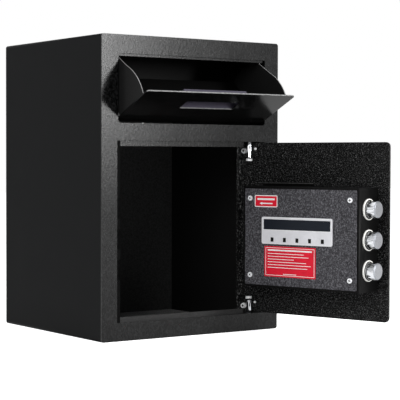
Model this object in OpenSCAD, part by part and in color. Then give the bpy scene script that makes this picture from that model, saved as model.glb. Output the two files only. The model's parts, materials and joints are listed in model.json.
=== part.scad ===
// Drop safe with a tilt-out deposit hopper above a bolted door.
// Lengths are in millimetres and angles in degrees. +Z is up and the front faces -Y.
// The origin is the middle of the base, at the centre of the floor anchor holes.
// Cabinet pieces are drawn from the cabinet's front left bottom corner, then centred.
// Door pieces are drawn with the door closed, then swung open about the hinge pins.
// Hopper pieces are drawn closed and measured from the rod, then tilted out about it.

/* [Cabinet] */
// Width of the cabinet
body_w = 324; // [310:1:400]
// Depth of the cabinet, front to back
body_d = 300; // [240:1:420]
// Height of the cabinet
body_h = 450; // [440:1:560]
// Thickness of the wrap and back sheet
wall_t = 2; // [1.5:0.5:3]
// Thickness of the front panel
front_t = 2; // [1.5:0.5:2]
// Radius of the cabinet's long edges
body_r = 4; // [3:1:8]

/* [Door opening] */
// Front panel left of the door opening, on the bolt side
strike_stile = 26.6; // [26:0.1:34]
// Front panel below the door opening
sill_h = 27; // [24:1:40]
// Height of the door opening
opening_h = 268; // [240:1:272]
// Thickness of the frame rails behind the front
frame_t = 2; // [1.5:0.5:3]
// Depth of the frame rails behind the front
frame_d = 24; // [20:1:40]
// Reach of the stop lips into the opening
stop_lip = 8; // [6:0.5:10]

/* [Hopper opening] */
// Front panel between the door opening and the hopper opening
mid_rail_h = 25.8; // [20:0.2:32]
// Height of the hopper opening
mouth_h = 101.7; // [96:0.1:104]
// Front panel left of the hopper opening
mouth_stile_l = 28.2; // [28:0.1:34]
// Front panel right of the hopper opening
mouth_stile_r = 25.4; // [25:0.1:34]

/* [Door] */
// Thickness of the door plate
door_t = 4; // [3:0.5:5]
// Gap around the door on the bolt side, top and bottom
door_gap = 1.4; // [1.2:0.1:2]
// Gap between the door and the opening on the hinge side
hinge_gap = 2.5; // [2.4:0.1:4]
// Corner radius of the door on the bolt side
door_r = 7; // [3:1:12]
// Depth of the folded flange on the hinge side
hinge_flange = 15; // [10:1:16]
// Distance from the door's hinge edge to the hinge axis
hinge_inset = 19.5; // [18:0.1:24]
// Distance from the door's inner face to the hinge axis
hinge_setback = 7.2; // [7:0.1:9]
// Diameter of the hinge pins
pin_d = 8; // [6:0.5:9]
// Angle of the open door in the stored pose
door_open = 106.8; // [0:0.1:115]

/* [Lock box] */
// Distance from the door's free edge to the lock box
case_edge = 19; // [17:0.5:26]
// Width of the lock box
case_w = 206.5; // [200:0.5:212]
// Height of the lock box
case_h = 153; // [150:1:170]
// Depth of the lock box off the door plate
case_d = 52; // [50:1:60]
// Sheet thickness of the lock box
case_t = 1.5; // [1:0.5:2]
// Height of the lock box above the door's lower edge
case_lift = 45.6; // [40:0.2:50]

/* [Bolts] */
// Diameter of the locking bolts
bolt_d = 25; // [18:0.5:26]
// Spacing of the locking bolts
bolt_pitch = 45; // [40:1:48]
// Height of the bolt axes above the door's inner face
bolt_rise = 27; // [24:0.5:28]
// Distance from the door's free edge back to the bolt tips in the stored pose
bolt_setback = 0.8; // [0.8:0.1:3]
// Travel from the stored pose to fully thrown
throw_out = 14; // [12:0.5:16]
// Travel from the stored pose to fully drawn
throw_in = 8; // [7:0.5:8]

/* [Hopper] */
// Diameter of the hopper's pivot rod
rod_d = 6; // [5:0.5:6]
// Height of the rod above the lower edge of the hopper opening
rod_lift = 10.8; // [10.8:0.1:12]
// Thickness of the flap
flap_t = 2; // [1.5:0.5:2.5]
// Angle between the flap and the bucket plate
bucket_deg = 110; // [105:1:118]
// Length of the bucket plate from the rod
bucket_len = 88; // [70:1:96]
// Radius of the quadrant plates
quadrant_r = 75.3; // [66:0.1:78]
// Angle of the tilted hopper in the stored pose
hopper_open = 65; // [0:0.5:65]

/* [Lock parts] */
// Diameter of the outside knob
knob_d = 42; // [34:1:44]
// Radius of the drive cam pin's circle
cam_r = 15.6; // [13:0.1:17]
// Width of the outside control panel
panel_w = 150; // [146:1:156]
// Height of the outside control panel
panel_h = 112; // [108:1:124]
// Depth of the outside control panel
panel_d = 18; // [15:0.5:20]
// Travel of a key
key_travel = 1.5; // [0.8:0.1:2]

/* [Anchors] */
// Diameter of the anchor holes
anchor_d = 11; // [8:0.5:14]
// Spacing of the floor anchors across the width
floor_anchor_x = 220; // [160:1:240]
// Spacing of the floor anchors front to back
floor_anchor_y = 160; // [120:1:180]
// Spacing of the wall anchors across the width
wall_anchor_x = 200; // [140:1:240]
// Spacing of the wall anchors up the back
wall_anchor_z = 80; // [60:1:100]
// Height of the middle of the wall anchors
wall_anchor_h = 365; // [350:1:380]

/* [Hidden] */
$fn = 48;

// Clearances
run_gap = 0.05;   // radial clearance of a running fit
near_gap = 0.3;   // clearance between neighbours that never rub
side_gap = 0.8;   // flap to the sides of its opening

// Colours
black_coat = [0.10, 0.10, 0.11];
panel_coat = [0.28, 0.28, 0.29];
chrome_look = [0.85, 0.86, 0.88];
zinc_look = [0.62, 0.62, 0.68];
plastic_black = [0.07, 0.07, 0.08];

// Back sheet, let in behind the wrap's edge
back_inset = 2;
back_y = body_d - back_inset;

// Door opening and door edges
opening_x0 = strike_stile;
opening_x1 = body_w - 25.5;
opening_z0 = sill_h;
opening_z1 = sill_h + opening_h;
door_x0 = opening_x0 + door_gap;
door_x1 = opening_x1 - hinge_gap;
door_z0 = opening_z0 + door_gap - 0.2;
door_z1 = opening_z1 - door_gap + 0.2;
door_in = door_t;
hinge_x = door_x1 - hinge_inset;
hinge_y = door_in + hinge_setback;
stop_y = door_in + 0.5;
flange_t = 2;

// Hopper opening, rod and flap
mouth_x0 = mouth_stile_l;
mouth_x1 = body_w - mouth_stile_r;
mouth_z0 = opening_z1 + mid_rail_h;
mouth_z1 = mouth_z0 + mouth_h;
curl_r = rod_d / 2 + 2;
rod_y = near_gap + curl_r;
rod_z = mouth_z0 + rod_lift;
flap_x0 = mouth_x0 + side_gap;
flap_x1 = mouth_x1 - side_gap;
flap_len = mouth_z1 - rod_z - 2.9;
flap_tail = rod_lift - 1.3;
lip_z = mouth_z1 - 3.8;
lip_y = near_gap + flap_t + near_gap;
lip_t = 2;
web_z = mouth_z1 + 0.5;
hook_r = mouth_z1 - near_gap - rod_z;
side_t = 1.5;
rod_end = 2;
side_x0 = mouth_x0 - 3.2;
side_x1 = mouth_x1 + 2.9;
quad_t = 1.5;
quad_x0 = flap_x0 + 1;
quad_x1 = flap_x1 - 6;
bucket_t = 1.5;
baffle_y = rod_y + hook_r + 22;

// Lock box
case_x0 = door_x0 + case_edge;
case_x1 = case_x0 + case_w;
case_z0 = door_z0 + case_lift;
case_z1 = case_z0 + case_h;
case_y1 = door_in + case_d;
case_rim = 20;
cover_inset = 3.4;
cover_x0 = case_x0 + cover_inset;
cover_x1 = case_x1 - cover_inset;
cover_z0 = case_z0 + cover_inset;
cover_z1 = case_z1 - cover_inset;
cover_y = case_y1 + case_t;
screw_in_x = 10.5;
screw_in_z = 14.6;
mid_z = (case_z0 + case_z1) / 2;

// Bolts and carrier
bolt_y = door_in + bolt_rise;
bolt_tip = door_x0 + bolt_setback;
bolt_end = case_x0 + 37;
bolt_z = [for (i = [-1:1]) mid_z + i * bolt_pitch];
stud_d = 10;
bar_t = 3;
guide_x = bolt_end + bar_t + throw_in + 7;
guide_t = 2;
stud_end = guide_x + guide_t + throw_out + 14;
slot_half = bolt_d / 2 + 2;
bush_flange = 2.5;
bush_depth = 9;

// Knob, cam, carrier tab and solenoid
knob_set_in = 34;
knob_x = bolt_end + knob_set_in;
cam_t = 3.5;
cam_y = door_in + 0.5;
cam_disc_r = cam_r + 6.4;
cam_pin_d = 6;
tab_y = cam_y + cam_t + 1.5;
tab_t = 2.5;
tab_end = knob_x + 22;
tab_half_h = 25.5;
cam_half = asin((throw_out + throw_in) / 2 / cam_r);
cam_offset = (throw_out - throw_in) / 2;
cam_rest = cam_half * cam_offset / ((throw_out + throw_in) / 2);
plunger_d = 6;
tooth_w = 3;
tooth_x = knob_x + throw_out - plunger_d / 2 - near_gap - 0.5 - tooth_w;
tooth_h = 8;
plunger_z = mid_z + tab_half_h + tooth_h + 1;
plunger_drop = 6;
collar_h = 1.5;
collar_z = plunger_z + plunger_drop + near_gap;
coil_z = collar_z + collar_h + 5.7;
coil_h = case_z1 - case_t - 3 - coil_z;

// Battery bay
bay_w = 120;
bay_h = 36;
bay_x = (cover_x0 + cover_x1) / 2 + 3.6;
bay_z = mid_z + 10.3;
bcover_w = 127;
bcover_h = 41;
bcover_t = 2;
tray_y = bolt_y + 9;
cell_d = 14.2;
cell_l = 50.5;

// Outside control panel
panel_lead = 34;
panel_x0 = knob_x - panel_lead;
panel_x1 = panel_x0 + panel_w;
panel_z0 = mid_z - panel_h / 2;
panel_z1 = mid_z + panel_h / 2;
panel_t = 2.5;
keys_x = panel_x1 - 44;
key_px = 19;
key_pz = 20;
key_w = 14;
key_h = 12;
key_proud = 2.5;
barrel_r = 9;
collar_r = 10;
collar_t = 2;
barrel_reach = 18;
lock_x = knob_x;
lock_drop = 44.5;
lock_z = mid_z - lock_drop;
plug_r = 6;
cover_hang = 15;
cover_pin_r = 2;
hang_y = -panel_d - collar_t - near_gap;
hang_t = 2.2;
lamp_r = 2.5;
lamp_px = 12;
lamp_z = panel_z1 - 16.5;
stud_r = 2;
stud_in = 6;
stud_out = 4.2;
pad_gap = 9;

// Puts cabinet drawings in the part's frame
module in_cabinet() translate([-body_w / 2, -body_d / 2, 0]) children();

// Swings closed-door drawings to the stored pose
module on_door() in_cabinet() translate([hinge_x, hinge_y, 0]) rotate([0, 0, door_open])
    translate([-hinge_x, -hinge_y, 0]) children();

// Tilts rod-centred drawings to the stored pose
module on_hopper() in_cabinet() translate([0, rod_y, rod_z]) rotate([hopper_open, 0, 0]) children();

// Upright plate facing the front, from a drawing in X and Z
module plate_xz(y, t) translate([0, y + t, 0]) rotate([90, 0, 0]) linear_extrude(t) children();

// Upright plate facing sideways, from a drawing in Y and Z
module plate_yz(x, t) translate([x, 0, 0]) rotate([90, 0, 90]) linear_extrude(t) children();

// Block between two corners
module block(a, b) translate(a) cube(b - a);

// Rectangle between two corners with round corners
module round_rect(x0, z0, x1, z1, r) {
    translate([x0 + r, z0]) square([x1 - x0 - 2 * r, z1 - z0]);
    translate([x0, z0 + r]) square([x1 - x0, z1 - z0 - 2 * r]);
    for (x = [x0 + r, x1 - r], z = [z0 + r, z1 - r]) translate([x, z]) circle(r);
}

// Round bar or hole along Y, from y0 to y1
module along_y(x, z, r, y0, y1) translate([x, y0, z]) rotate([-90, 0, 0]) cylinder(r = r, h = y1 - y0);

// Round bar or hole along X, from x0 to x1
module along_x(y, z, r, x0, x1) translate([x0, y, z]) rotate([0, 90, 0]) cylinder(r = r, h = x1 - x0);

// Anchor hole centres across a rectangle
function corners(sx, sy) = [for (i = [-1, 1], j = [-1, 1]) [i * sx / 2, j * sy / 2]];

// Sides, roof and floor in one sheet
module wrap_shell() color(black_coat) in_cabinet() difference() {
    plate_xz(front_t, body_d - front_t) difference() {
        round_rect(0, 0, body_w, body_h, body_r);
        round_rect(wall_t, wall_t, body_w - wall_t, body_h - wall_t, body_r - wall_t);
    }
    for (p = corners(floor_anchor_x, floor_anchor_y))
        translate([body_w / 2 + p[0], body_d / 2 + p[1], -1]) cylinder(d = anchor_d, h = wall_t + 2);
}

// Back sheet, let in between the walls
module back_panel() color(black_coat) in_cabinet() difference() {
    plate_xz(back_y - wall_t, wall_t)
        round_rect(wall_t, wall_t, body_w - wall_t, body_h - wall_t, body_r - wall_t);
    for (p = corners(wall_anchor_x, wall_anchor_z))
        along_y(body_w / 2 + p[0], wall_anchor_h + p[1], anchor_d / 2,
            back_y - wall_t - 1, back_y + 1);
}

// Outline of the hopper opening, square above and round below
module mouth_outline() {
    low_r = 5;
    translate([mouth_x0, mouth_z0 + low_r]) square([mouth_x1 - mouth_x0, mouth_h - low_r]);
    round_rect(mouth_x0, mouth_z0, mouth_x1, mouth_z0 + 3 * low_r, low_r);
}

// Front sheet with the door and hopper openings
module front_panel() color(panel_coat) in_cabinet() plate_xz(0, front_t) difference() {
    round_rect(0, 0, body_w, body_h, body_r);
    round_rect(opening_x0, opening_z0, opening_x1, opening_z1, 2);
    mouth_outline();
}

// Rail behind the top or bottom of the door opening, with its stop lip and pin bearing
module frame_rail(web_z0, lip_z0) {
    lip_x1 = hinge_x - 16.5;
    difference() {
        block([wall_t, front_t, web_z0], [body_w - wall_t, front_t + frame_d, web_z0 + frame_t]);
        translate([hinge_x, hinge_y, web_z0 - 1]) cylinder(r = pin_d / 2 + run_gap, h = frame_t + 2);
    }
    block([opening_x0 + stop_lip, stop_y, lip_z0], [lip_x1, stop_y + frame_t, lip_z0 + stop_lip]);
}

module door_frame_top() color(black_coat) in_cabinet()
    frame_rail(opening_z1, opening_z1 - stop_lip);

module door_frame_bottom() color(black_coat) in_cabinet()
    frame_rail(opening_z0 - frame_t, opening_z0);

// Upright jamb strip that the bolts are thrown behind
module strike_post() color(black_coat) in_cabinet()
    block([opening_x0 - frame_t, front_t, opening_z0],
        [opening_x0, bolt_y - slot_half, opening_z1]);

// Stop tabs on the jamb strip and guide plates behind it, apart where the bolts pass
module strike_tabs() color(black_coat) in_cabinet() difference() {
    union() {
        block([opening_x0, stop_y, opening_z0],
            [opening_x0 + stop_lip, stop_y + frame_t, opening_z1]);
        block([opening_x0 - frame_t, bolt_y - slot_half, opening_z0],
            [opening_x0, bolt_y + slot_half, opening_z1]);
    }
    for (z = bolt_z)
        block([opening_x0 - frame_t - 1, stop_y - 1, z - slot_half],
            [opening_x0 + stop_lip + 1, bolt_y + slot_half + 1, z + slot_half]);
}

// Angle over the hopper opening that stops the flap and catches the quadrant hooks
module hopper_lintel() color(black_coat) in_cabinet() {
    block([side_x0 + side_t, front_t, web_z], [side_x1 - side_t, front_t + 12, web_z + lip_t]);
    block([mouth_x0, lip_y, lip_z], [mouth_x1 - 3.4, lip_y + lip_t, web_z]);
}

// Side plate that carries the rod, flanged to the front and the roof
module hopper_side(x, out) {
    flange = 9;
    side_y = baffle_y + side_t;
    low_z = opening_z1 + frame_t + 1;
    fx = out < 0 ? x - flange : x + side_t;
    difference() {
        union() {
            block([x, front_t, low_z], [x + side_t, side_y, body_h - wall_t]);
            block([fx, front_t, low_z], [fx + flange, front_t + side_t, body_h - wall_t - body_r]);
        }
        along_x(rod_y, rod_z, rod_d / 2 + run_gap, side_x0 - rod_end - 1, side_x1 + rod_end + 1);
    }
    block([fx, front_t + side_t, body_h - wall_t - side_t], [fx + flange, side_y, body_h - wall_t]);
}

module hopper_sides() color(black_coat) in_cabinet() {
    hopper_side(side_x0, -1);
    hopper_side(side_x1 - side_t, 1);
}

// Rod that the hopper turns on, held by the two side plates
module hopper_rod() color(zinc_look) in_cabinet()
    along_x(rod_y, rod_z, rod_d / 2, side_x0 - rod_end, side_x1 + rod_end);

// Plate that hangs from the roof behind the bucket
module antifish_baffle() color(black_coat) in_cabinet() {
    x0 = side_x0 + side_t;
    x1 = side_x1 - side_t;
    block([x0, baffle_y, rod_z + 14], [x1, baffle_y + side_t, body_h - wall_t]);
    block([x0, baffle_y + side_t, body_h - wall_t - side_t], [x1, baffle_y + 15, body_h - wall_t]);
}

// Felt mat on the floor, cut out over the anchor holes
module floor_mat() color([0.12, 0.12, 0.13]) in_cabinet() difference() {
    mat_t = 3;
    edge = 4;
    block([wall_t + edge, front_t + edge, wall_t],
        [body_w - wall_t - edge, back_y - wall_t - edge, wall_t + mat_t]);
    for (p = corners(floor_anchor_x, floor_anchor_y))
        translate([body_w / 2 + p[0], body_d / 2 + p[1], 0])
            cylinder(d = anchor_d + 4, h = wall_t + mat_t + 1);
}

// Finger window in the flap, in X and height above the rod
pull_x = (flap_x0 + flap_x1) / 2;
pull_w = 96;
pull_z0 = 38;
pull_z1 = 60;

// Outer plate of the hopper, curled round the rod at its foot
module flap() color(panel_coat) on_hopper() difference() {
    corner_r = 5;
    tail_r = 4.5;
    union() {
        plate_xz(-curl_r, flap_t) difference() {
            union() {
                round_rect(flap_x0, -flap_tail, flap_x1, 2 * flap_tail, tail_r);
                round_rect(flap_x0, 0, flap_x1, flap_len, corner_r);
            }
            translate([pull_x - pull_w / 2, pull_z0]) square([pull_w, pull_z1 - pull_z0]);
        }
        along_x(0, 0, curl_r, flap_x0, flap_x1);
    }
    along_x(0, 0, rod_d / 2 + run_gap, side_x0, side_x1);
}

// A point at radius r and angle a from the flap towards the back, in Y and Z from the rod
function polar(r, a) = [r * sin(a), r * cos(a)];

// Outline of a quadrant: fan, flared end and stop hook
module quadrant_outline() {
    open_full = 65;
    flare_from = 40;
    hook_y = lip_y + lip_t + near_gap - rod_y;
    hook_a = open_full + atan(hook_y / hook_r);
    hook_low = lip_z - 1 - rod_z;
    low_a = open_full + atan(hook_y / hook_low);
    inner = -curl_r + flap_t;
    flare_steps = 4;
    back = curl_r - bucket_t;
    difference() {
        polygon(concat(
            [[inner, 0], [inner, quadrant_r]],
            [for (i = [0:5]) polar(quadrant_r, 2 + i * (flare_from - 2) / 5)],
            [for (i = [1:flare_steps]) polar(
                quadrant_r + (hook_low - quadrant_r) * pow(i / flare_steps, 2),
                flare_from + (low_a - flare_from) * i / flare_steps)],
            [for (i = [0:6]) polar(hook_r, hook_a + i * (bucket_deg - hook_a) / 6)],
            [polar(back, bucket_deg + 90) + polar(bucket_len, bucket_deg),
                polar(back, bucket_deg + 90)]));
        circle(curl_r + run_gap);
        // Keeps the fan above the bucket plate
        rotate(90 - bucket_deg) translate([0, -back - 20]) square([bucket_len + 20, 20]);
    }
}

module quadrant_left() color(black_coat) on_hopper() plate_yz(quad_x0, quad_t) quadrant_outline();

module quadrant_right() color(black_coat) on_hopper()
    plate_yz(quad_x1 - quad_t, quad_t) quadrant_outline();

// Back plate of the bucket, which shuts the safe off while the hopper is open
module bucket_plate() color(black_coat) on_hopper() rotate([90 - bucket_deg, 0, 0])
    block([quad_x0 + quad_t, curl_r - 1.2, -curl_r], [quad_x1 - quad_t, bucket_len, -curl_r + bucket_t]);

// Finger pull behind the flap's window, a box deep enough above the window to hook fingers in
module finger_pull() color(zinc_look) on_hopper() {
    y0 = -curl_r + flap_t;
    depth = 12.5;
    skin = 1.5;
    rim = 3;
    low = [pull_x - pull_w / 2 - 9, y0, pull_z0 - skin];
    high = [pull_x + pull_w / 2 + 9, y0 + depth, pull_z1 + 11];
    difference() {
        union() {
            block(low - [rim, 0, rim], [high[0] + rim, y0 + 1, high[2] + rim]);
            block(low, high);
        }
        block(low + [skin, -1, skin], high - [skin, skin, skin]);
    }
}

// Door plate with its folded hinge flange and the holes for the lock
module door_plate() color(black_coat) on_door() {
    hinge_r = 2;
    difference() {
        plate_xz(0, door_t) union() {
            round_rect(door_x0, door_z0, door_x1 - 2 * door_r, door_z1, door_r);
            round_rect(door_x0 + 2 * door_r, door_z0, door_x1, door_z1, hinge_r);
        }
        along_y(knob_x, mid_z, stud_d / 2 + run_gap, -1, door_in + 1);
        along_y(lock_x, lock_z, barrel_r + 0.2, -1, door_in + 1);
        along_y(keys_x, mid_z, 7, -1, door_in + 1);
        for (p = panel_studs) along_y(p[0], p[1], stud_r + 0.2, -1, door_in + 1);
    }
    block([door_x1 - flange_t, door_in, door_z0 + hinge_r],
        [door_x1, door_in + hinge_flange, door_z1 - hinge_r]);
}

// Height of the pin heads, brackets and screws at the top and bottom hinge
head_t = 3.9;
pin_top_z = door_z1 - 28.5;
pin_low_z = door_z0 + 20.9;
bracket_t = 2;

// Bracket base with the ear that carries the pin. ear_z is the ear's lower face
module hinge_bracket(z0, z1, ear_z) {
    difference() {
        union() {
            block([hinge_x - 12.5, door_in, z0], [hinge_x + 15.5, door_in + bracket_t, z1]);
            block([hinge_x - 7, door_in, ear_z],
                [hinge_x + 7, hinge_y + pin_d / 2 + 2, ear_z + bracket_t]);
        }
        translate([hinge_x, hinge_y, ear_z - 1]) cylinder(r = pin_d / 2 + run_gap, h = bracket_t + 2);
    }
}

module hinge_brackets() color(black_coat) on_door() {
    hinge_bracket(pin_top_z - 2, door_z1 - 4, pin_top_z + head_t);
    hinge_bracket(door_z0 + 4, pin_low_z + head_t + 2, pin_low_z - bracket_t);
}

// Two headed pins, pushed in from inside and standing into the frame rails
module hinge_pins() color(chrome_look) on_door() translate([hinge_x, hinge_y, 0]) {
    pin_reach = frame_t + 3.5;
    head_d = 2 * (hinge_setback - bracket_t - near_gap);
    translate([0, 0, pin_top_z]) {
        cylinder(d = head_d, h = head_t);
        cylinder(d = pin_d, h = opening_z1 + pin_reach - pin_top_z);
    }
    translate([0, 0, opening_z0 - pin_reach])
        cylinder(d = pin_d, h = pin_low_z + head_t - opening_z0 + pin_reach);
    translate([0, 0, pin_low_z]) cylinder(d = head_d, h = head_t);
}

screw_x = hinge_x + 13;
screw_top_z = door_z1 - 12.5;
screw_low_z = door_z0 + 8.6;
keeper_t = 1.1;

// Round-headed screws of the hinge brackets, each with a tongue that keeps its pin in
module hinge_screws() color(chrome_look) on_door() {
    y = door_in + bracket_t;
    head_y = y + keeper_t;
    for (z = [screw_top_z, screw_low_z]) difference() {
        union() {
            along_y(screw_x, z, 3.9, head_y, head_y + 2.4);
            along_y(screw_x, z, 4.4, y, head_y);
            block([hinge_x + 2.5, y, z - 1.4], [screw_x, head_y, z + 1.4]);
        }
        along_y(screw_x, z, 1.2, head_y + 1.2, head_y + 3);
    }
    for (z = [screw_top_z + 3, screw_low_z + 7]) along_y(hinge_x - 8.5, z, 1.9, y, y + 1.2);
}

// Lock box: four walls and a rim, open to the door plate, with its foot flanges
module lock_case() color(black_coat) on_door() {
    foot = 6;
    difference() {
        block([case_x0, door_in, case_z0], [case_x1, case_y1, case_z1]);
        block([case_x0 + case_t, door_in - 1, case_z0 + case_t],
            [case_x1 - case_t, case_y1 - case_t, case_z1 - case_t]);
        block([case_x0 + case_rim, door_in, case_z0 + case_rim],
            [case_x1 - case_rim, case_y1 + 1, case_z1 - case_rim]);
        for (z = bolt_z) along_x(bolt_y, z, bolt_d / 2 + 1.6, case_x0 - 1, case_x0 + case_t + 1);
        for (x = [cover_x0 + screw_in_x, cover_x1 - screw_in_x],
            z = [cover_z0 + screw_in_z, cover_z1 - screw_in_z])
            along_y(x, z, 2.05, case_y1 - case_t - 1, case_y1 + 1);
    }
    block([case_x1 - 93, door_in, case_z1], [case_x1, door_in + case_t, case_z1 + foot]);
    block([case_x1 - 93, door_in, case_z0 - foot], [case_x1, door_in + case_t, case_z0]);
}

// Cover plate over the lock box, cut out for the battery bay
module lock_cover() color([0.27, 0.27, 0.28]) on_door() difference() {
    plate_xz(case_y1, case_t) difference() {
        round_rect(cover_x0, cover_z0, cover_x1, cover_z1, 2);
        translate([bay_x - bay_w / 2, bay_z - bay_h / 2]) square([bay_w, bay_h]);
    }
    for (x = [cover_x0 + screw_in_x, cover_x1 - screw_in_x],
        z = [cover_z0 + screw_in_z, cover_z1 - screw_in_z])
        along_y(x, z, 2.05, case_y1 - 1, cover_y + 1);
}

// Four pan-head screws of the cover plate
module cover_screws() color(chrome_look) on_door()
    for (x = [cover_x0 + screw_in_x, cover_x1 - screw_in_x],
        z = [cover_z0 + screw_in_z, cover_z1 - screw_in_z]) {
        along_y(x, z, 2, case_y1 - 6, cover_y);
        difference() {
            along_y(x, z, 3.7, cover_y, cover_y + 2);
            block([x - 2.4, cover_y + 1.2, z - 0.4], [x + 2.4, cover_y + 3, z + 0.4]);
            block([x - 0.4, cover_y + 1.2, z - 2.4], [x + 0.4, cover_y + 3, z + 2.4]);
        }
    }

// Flanged nylon rings that the bolts run in
module bolt_bushings() color([0.93, 0.90, 0.80]) on_door() for (z = bolt_z) difference() {
    union() {
        along_x(bolt_y, z, bolt_d / 2 + 3, case_x0 - bush_flange, case_x0);
        along_x(bolt_y, z, bolt_d / 2 + 1.5, case_x0 - bush_flange, case_x0 + bush_depth);
    }
    along_x(bolt_y, z, bolt_d / 2 + run_gap, case_x0 - bush_flange - 1, case_x0 + bush_depth + 1);
}

// Plate on two legs that guides the bolt tails and bridges the cam
module tail_guide() color(zinc_look) on_door() {
    leg = 12;
    half = bolt_pitch + 13.5;
    lift = 12;
    top_y = bolt_y + stud_d / 2 + 2;
    difference() {
        block([guide_x, door_in, mid_z - half - leg], [guide_x + guide_t, top_y, mid_z + half + leg]);
        block([guide_x - 1, door_in - 1, mid_z - half],
            [guide_x + guide_t + 1, door_in + lift, mid_z + half]);
        for (z = bolt_z) along_x(bolt_y, z, stud_d / 2 + run_gap, guide_x - 1, guide_x + guide_t + 1);
    }
}

// Coil block that lifts the plunger
coil_y = tab_y + tab_t / 2;
module solenoid() color([0.55, 0.50, 0.30]) on_door() difference() {
    block([knob_x - 11, door_in, coil_z], [knob_x + 11, coil_y + 11, coil_z + coil_h]);
    translate([knob_x, coil_y, coil_z - 1]) cylinder(r = plunger_d / 2 + run_gap, h = coil_h - 1);
}

// Control board on four posts
module circuit_board() color([0.10, 0.35, 0.16]) on_door() {
    board_y = door_in + 8;
    x0 = case_x1 - case_t - 78;
    x1 = case_x1 - case_t - 6;
    z0 = case_z0 + case_t + 8;
    z1 = case_z1 - case_t - 8;
    block([x0, board_y, z0], [x1, board_y + 1.6, z1]);
    for (x = [x0 + 4, x1 - 4], z = [z0 + 18, z1 - 18]) along_y(x, z, 2.5, door_in, board_y);
    block([x0 + 14, board_y + 1.6, mid_z - 12], [x0 + 34, board_y + 5, mid_z + 8]);
    block([x0 + 42, board_y + 1.6, mid_z + 16], [x0 + 60, board_y + 11, mid_z + 30]);
    block([x0 + 10, board_y + 1.6, mid_z - 44], [x0 + 30, board_y + 9, mid_z - 34]);
}

// Tray for four round cells, open towards the battery cover
module battery_tray() color(plastic_black) on_door() difference() {
    skin = 1.5;
    half_w = bay_w / 2 - 1;
    half_h = bay_h / 2 - 1;
    block([bay_x - half_w, tray_y, bay_z - half_h], [bay_x + half_w, case_y1, bay_z + half_h]);
    block([bay_x - half_w + skin, tray_y + skin, bay_z - half_h + skin],
        [bay_x + half_w - skin, case_y1 + 1, bay_z + half_h - skin]);
}

// Four cells in two rows
module battery_cells() color([0.75, 0.55, 0.15]) on_door()
    for (i = [-1, 1], j = [-1, 1])
        along_x(tray_y + 1.5 + cell_d / 2, bay_z + j * (cell_d / 2 + 0.7), cell_d / 2,
            bay_x + i * (cell_l / 2 + 1.5) - cell_l / 2, bay_x + i * (cell_l / 2 + 1.5) + cell_l / 2);

// Two plain stickers on the cover plate
module lock_labels() color([0.80, 0.16, 0.17]) on_door() {
    sticker_t = 0.3;
    plate_xz(cover_y, sticker_t) round_rect(cover_x1 - 60.5, cover_z1 - 27.8,
        cover_x1 - 18.5, cover_z1 - 9.8, 2);
    plate_xz(cover_y, sticker_t) round_rect(bay_x - 33.2, bay_z - 69.8,
        bay_x + 59.3, bay_z - 23.8, 0.5);
}

// Body of the emergency lock, with its collar outside the panel
module key_barrel() color(chrome_look) on_door() difference() {
    union() {
        along_y(lock_x, lock_z, barrel_r, -panel_d, door_in + barrel_reach);
        along_y(lock_x, lock_z, collar_r, -panel_d - collar_t, -panel_d);
    }
    along_y(lock_x, lock_z, plug_r + run_gap, -panel_d - collar_t - 1, door_in + barrel_reach + 1);
}

// Shell of the outside panel, open to the door plate
module control_panel() color(plastic_black) on_door() {
    difference() {
        plate_xz(-panel_d, panel_d) round_rect(panel_x0, panel_z0, panel_x1, panel_z1, 6);
        plate_xz(-panel_d + panel_t, panel_d)
            round_rect(panel_x0 + panel_t, panel_z0 + panel_t, panel_x1 - panel_t, panel_z1 - panel_t, 3.5);
        along_y(knob_x, mid_z, stud_d / 2 + 1, -panel_d - 1, 0);
        along_y(lock_x, lock_z, barrel_r + 0.2, -panel_d - 1, 0);
        for (i = [-1:1]) along_y(knob_x + i * lamp_px, lamp_z, lamp_r + run_gap, -panel_d - 1, 0);
        for (i = [0:11]) translate([key_at(i)[0], -panel_d - 1, key_at(i)[1]])
            block([-key_w / 2 - 0.4, 0, -key_h / 2 - 0.4], [key_w / 2 + 0.4, panel_t + 2, key_h / 2 + 0.4]);
    }
    for (p = panel_studs) {
        along_y(p[0], p[1], 2 * stud_r, -panel_d + panel_t, 0);
        along_y(p[0], p[1], stud_r, 0, door_in + stud_out);
    }
    // Pivot of the keyhole cover
    along_y(lock_x, lock_z + cover_hang, 2 * cover_pin_r, hang_y, -panel_d);
    along_y(lock_x, lock_z + cover_hang, cover_pin_r, hang_y - hang_t - 2 * near_gap, hang_y);
    along_y(lock_x, lock_z + cover_hang, cover_pin_r + 1.2,
        hang_y - hang_t - 2 * near_gap - 1, hang_y - hang_t - 2 * near_gap);
    // Board that the keys press on
    block([keys_x - 1.5 * key_px, -panel_d + pad_gap + key_travel, panel_z0 + panel_t + 4],
        [panel_x1 - panel_t, -panel_d + pad_gap + key_travel + 2, panel_z1 - panel_t - 4]);
}

// Studs of the panel, in X and Z
panel_studs = [for (x = [panel_x0 + stud_in, panel_x1 - stud_in],
    z = [panel_z0 + stud_in, panel_z1 - stud_in]) [x, z]];

// Centre of key i, counted from the top left, in X and Z
function key_at(i) = [keys_x + (i % 3 - 1) * key_px, mid_z + (1.5 - floor(i / 3)) * key_pz];

// Three lamps above the knob
module lamps() color([0.6, 0.1, 0.1]) on_door()
    for (i = [-1:1]) along_y(knob_x + i * lamp_px, lamp_z, lamp_r, -panel_d - 1, -panel_d + 6);

// Six-sided nut on the door's inner face
module hex_nut(x, z, r, h) translate([x, door_in, z]) rotate([-90, 0, 0]) cylinder(r = r, h = h, $fn = 6);

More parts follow.
